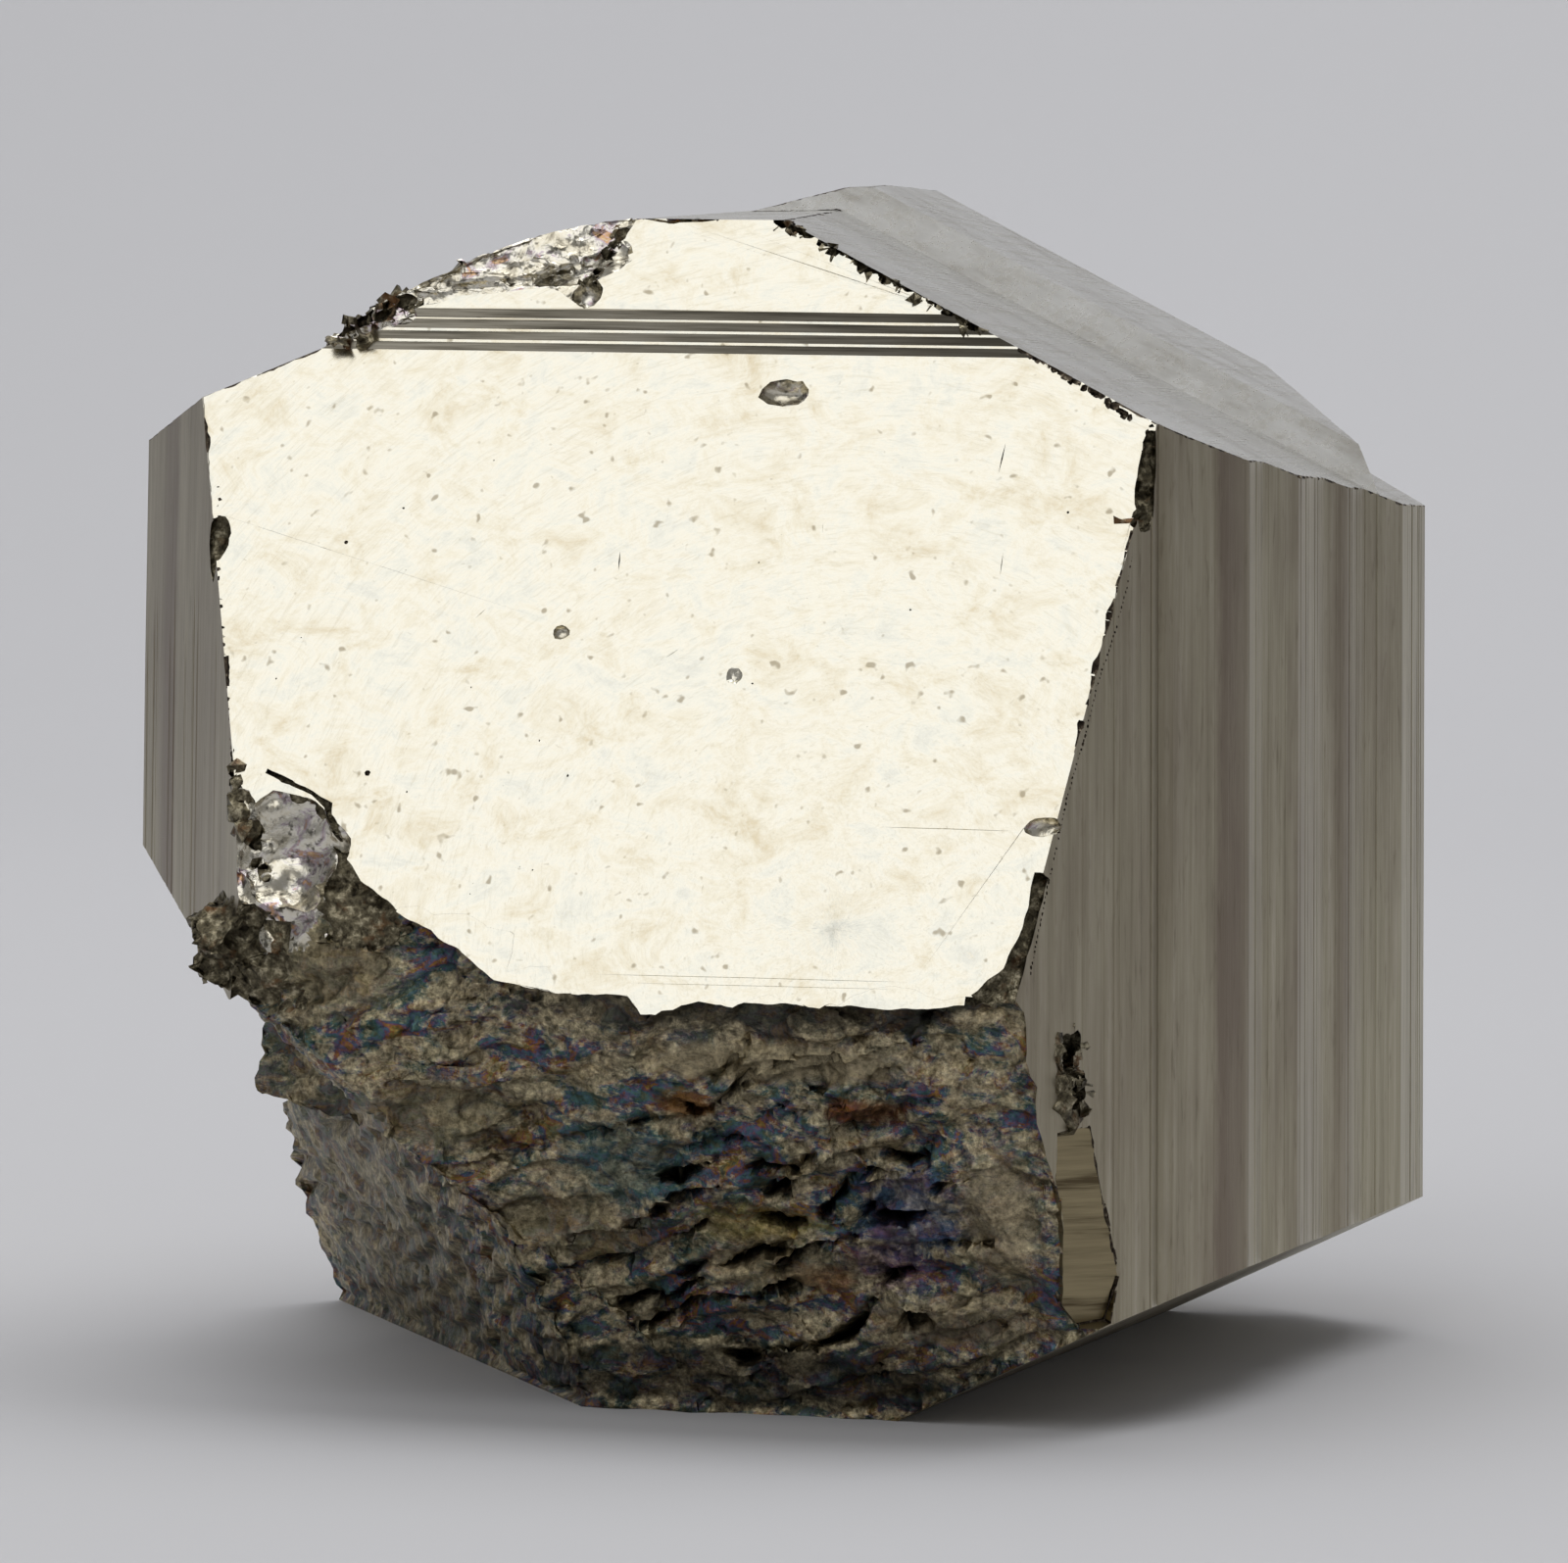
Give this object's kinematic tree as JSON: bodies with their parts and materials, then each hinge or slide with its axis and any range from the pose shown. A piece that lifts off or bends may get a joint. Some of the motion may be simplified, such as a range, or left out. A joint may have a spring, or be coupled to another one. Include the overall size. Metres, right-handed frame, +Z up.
{
  "type": "pyrite crystal cluster",
  "caption": "Blocky metallic pyrite crystal with smaller crystals grown on it, a rough broken lower front and a flat cut underneath to rest on.",
  "frame": {"origin": "middle of the bounding box's base, on the surface that the cluster rests on", "axes": "+Z up, -Y towards the large bright crystal face, +X towards the striated side; the cluster is longest along Y"},
  "size_m": [0.0242, 0.0306, 0.0241],
  "materials": {
    "pyrite": "natural metallic: bright crystal faces, satin striated sides and a dull, iridescent tarnished fracture"
  },
  "bodies": {
    "root": {"pyrite_cluster": "pyrite"}
  },
  "joints": []
}
